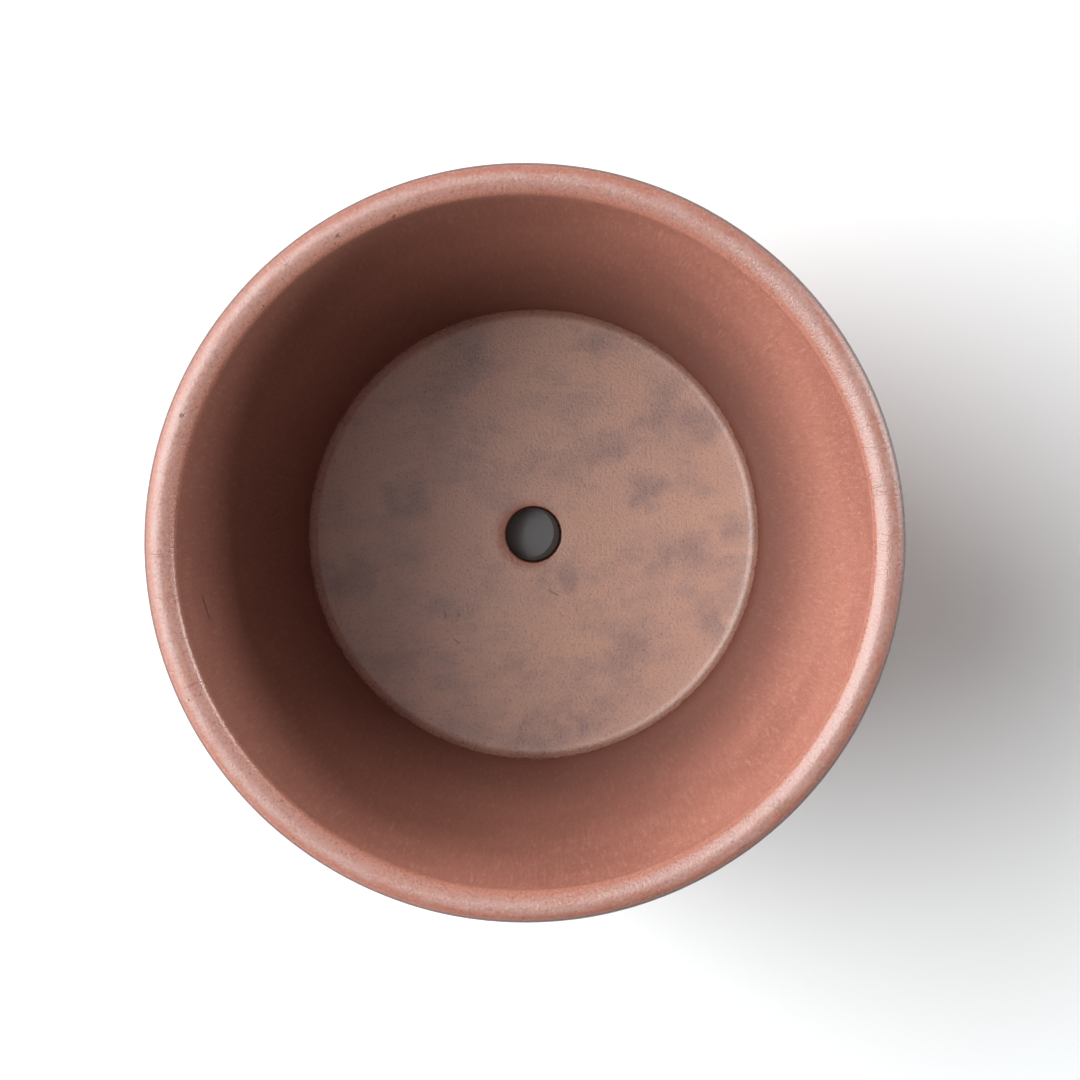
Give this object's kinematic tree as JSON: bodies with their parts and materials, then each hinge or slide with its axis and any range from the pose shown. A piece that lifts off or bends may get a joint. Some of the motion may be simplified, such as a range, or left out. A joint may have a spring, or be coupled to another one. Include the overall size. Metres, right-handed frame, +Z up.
{
  "type": "terracotta pot",
  "caption": "Tapered round terracotta flower pot with a collared, rounded lip, a flat foot ring and a drain hole in its floor; holds soil and a plant.",
  "frame": {"origin": "centre of the foot ring's resting plane, on the pot's axis", "axes": "+Z up along the pot's axis, towards the mouth; +X and +Y lie in the resting plane, and the drain hole's lower end leans towards -X"},
  "size_m": [0.1998, 0.1996, 0.18],
  "materials": {
    "terracotta": "matt fired clay"
  },
  "bodies": {
    "root": {"pot": "terracotta"}
  },
  "joints": []
}
